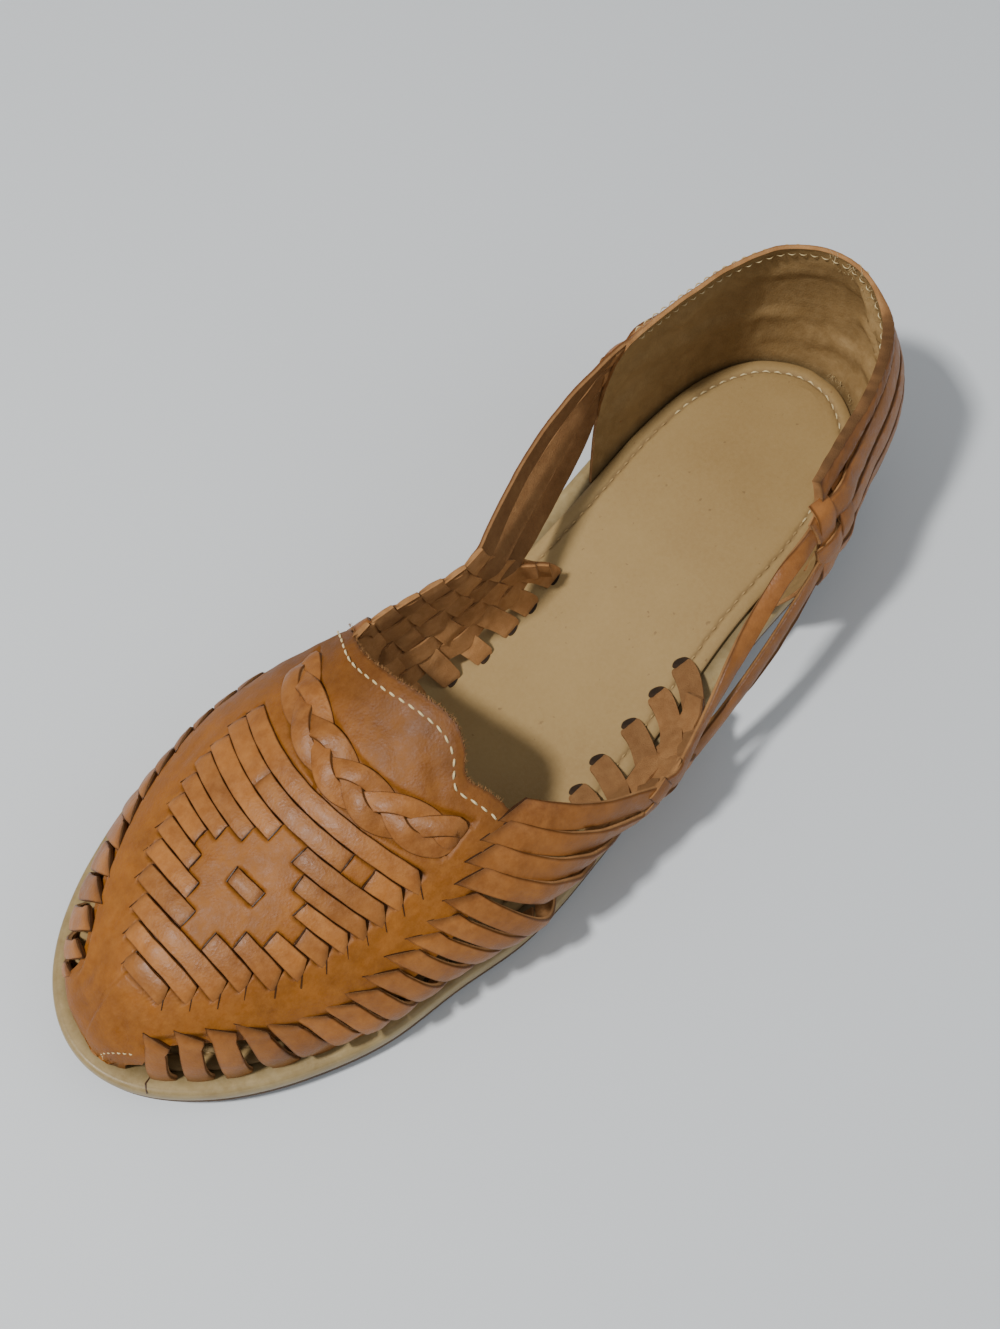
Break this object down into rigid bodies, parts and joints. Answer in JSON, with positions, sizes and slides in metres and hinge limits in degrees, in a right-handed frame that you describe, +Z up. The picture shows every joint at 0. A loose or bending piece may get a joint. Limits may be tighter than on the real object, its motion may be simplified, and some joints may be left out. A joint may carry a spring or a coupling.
{
  "type": "huarache sandal",
  "caption": "Closed-toe woven leather slip-on sandal for the left foot, with a plaited vamp, open sides, a slung heel counter and a low heel.",
  "frame": {"origin": "centre of the bounding box in plan, on the ground plane the sole stands on", "axes": "+X towards the toe, +Y to the lateral side of a left shoe, +Z up"},
  "size_m": [0.2616, 0.0999, 0.0678],
  "materials": {
    "outsole_rubber": "matt dark brown",
    "heel_rubber": "matt near black",
    "footbed_wrap": "smooth tan lining over the edge",
    "insole_board": "matt kraft tan",
    "upper_leather": "glazed orange tan",
    "strap_leather": "glazed brown tan",
    "suede_back": "napped flesh side",
    "counter_lining": "matt beige lining",
    "thread": "cream sewing thread"
  },
  "bodies": {
    "root": {"outsole": "outsole_rubber", "heel_block": "heel_rubber", "footbed": "footbed_wrap", "insole": "insole_board", "upper": "upper_leather", "vamp_braid": "strap_leather"}
  },
  "joints": []
}
